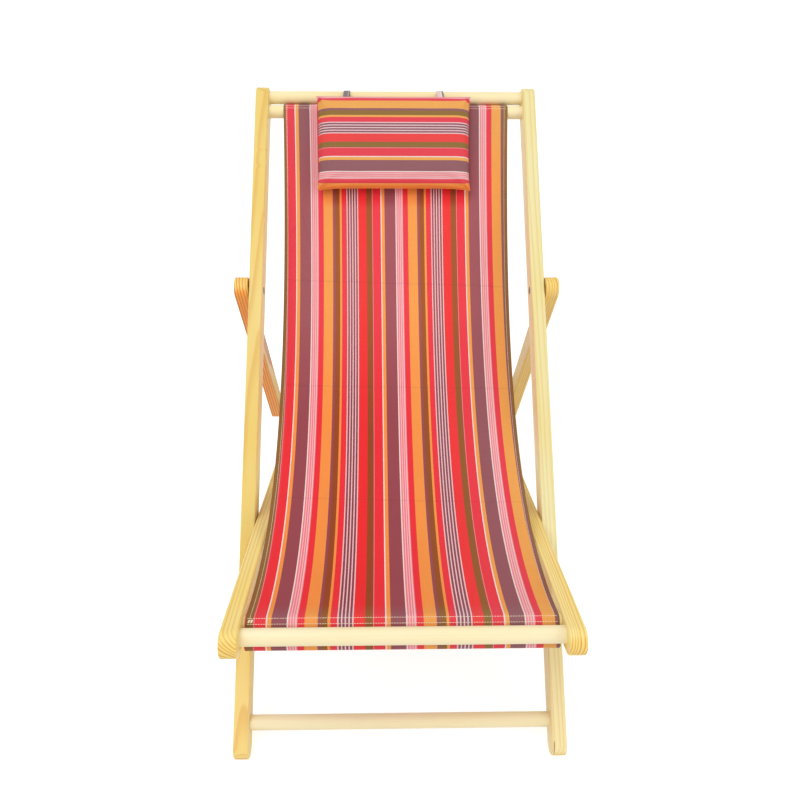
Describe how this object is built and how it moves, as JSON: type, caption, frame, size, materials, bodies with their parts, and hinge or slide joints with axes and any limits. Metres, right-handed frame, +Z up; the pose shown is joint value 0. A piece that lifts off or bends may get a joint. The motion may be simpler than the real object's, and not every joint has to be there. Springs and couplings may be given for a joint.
{
  "type": "folding sling deck chair",
  "caption": "Folding wooden sling deck chair: main frame, inner seat frame and outer prop frame on bolted pivots, a striped canvas sling and a headrest pillow on straps.",
  "frame": {"origin": "on the floor, under the middle of the chair's outer box", "axes": "+Z up, the chair faces -Y, +X to the sitter's left hand"},
  "size_m": [0.5834, 1.1538, 0.8316],
  "materials": {
    "pine": "pale sanded pine, clear satin lacquer",
    "steel": "zinc plated",
    "striped_canvas": "woven stripes in red, orange, purple, olive and cream",
    "striped_pillow": "the same woven stripes, laid across",
    "filling": "white foam slab",
    "strap_cloth": "plain woven cloth tape"
  },
  "bodies": {
    "main_frame": {"main_rail_left": "pine", "main_rail_right": "pine", "top_dowel_upper": "pine", "top_dowel_lower": "pine", "foot_stretcher": "pine", "top_hem_rod": "pine", "canvas_sling": "striped_canvas", "seat_pivot_bolts": "steel", "seat_pivot_nuts": "steel", "seat_pivot_washers": "steel", "prop_pivot_bolts": "steel", "prop_pivot_nuts": "steel", "prop_pivot_washers": "steel"},
    "seat_frame": {"seat_rail_left": "pine", "seat_rail_right": "pine", "seat_front_dowel": "pine", "seat_inner_dowel": "pine", "seat_rear_stretcher": "pine", "front_hem_rod": "pine"},
    "prop_frame": {"prop_rail_left": "pine", "prop_rail_right": "pine", "prop_crossbar": "pine"},
    "headrest": {"pillow_cover": "striped_pillow", "pillow_filling": "filling", "headrest_strap_left": "strap_cloth", "headrest_strap_right": "strap_cloth"}
  },
  "joints": [
    {"name": "seat_fold", "type": "hinge", "parent": "main_frame", "child": "seat_frame", "pos_m": [0, -0.25445, 0.25403], "axis": [1, 0, 0], "range_deg": [0, 52], "deforming": ["canvas_sling"]},
    {"name": "prop_fold", "type": "hinge", "parent": "main_frame", "child": "prop_frame", "pos_m": [0, 0.05625, 0.54548], "axis": [1, 0, 0], "range_deg": [0, 109.2]},
    {"name": "headrest_flip", "type": "hinge", "parent": "main_frame", "child": "headrest", "pos_m": [0, 0.34142, 0.81298], "axis": [-1, 0, 0], "range_deg": [0, 180]}
  ],
  "couplings": [
    {"joint": "prop_fold", "follows": "seat_fold", "ratio": 2.1}
  ]
}
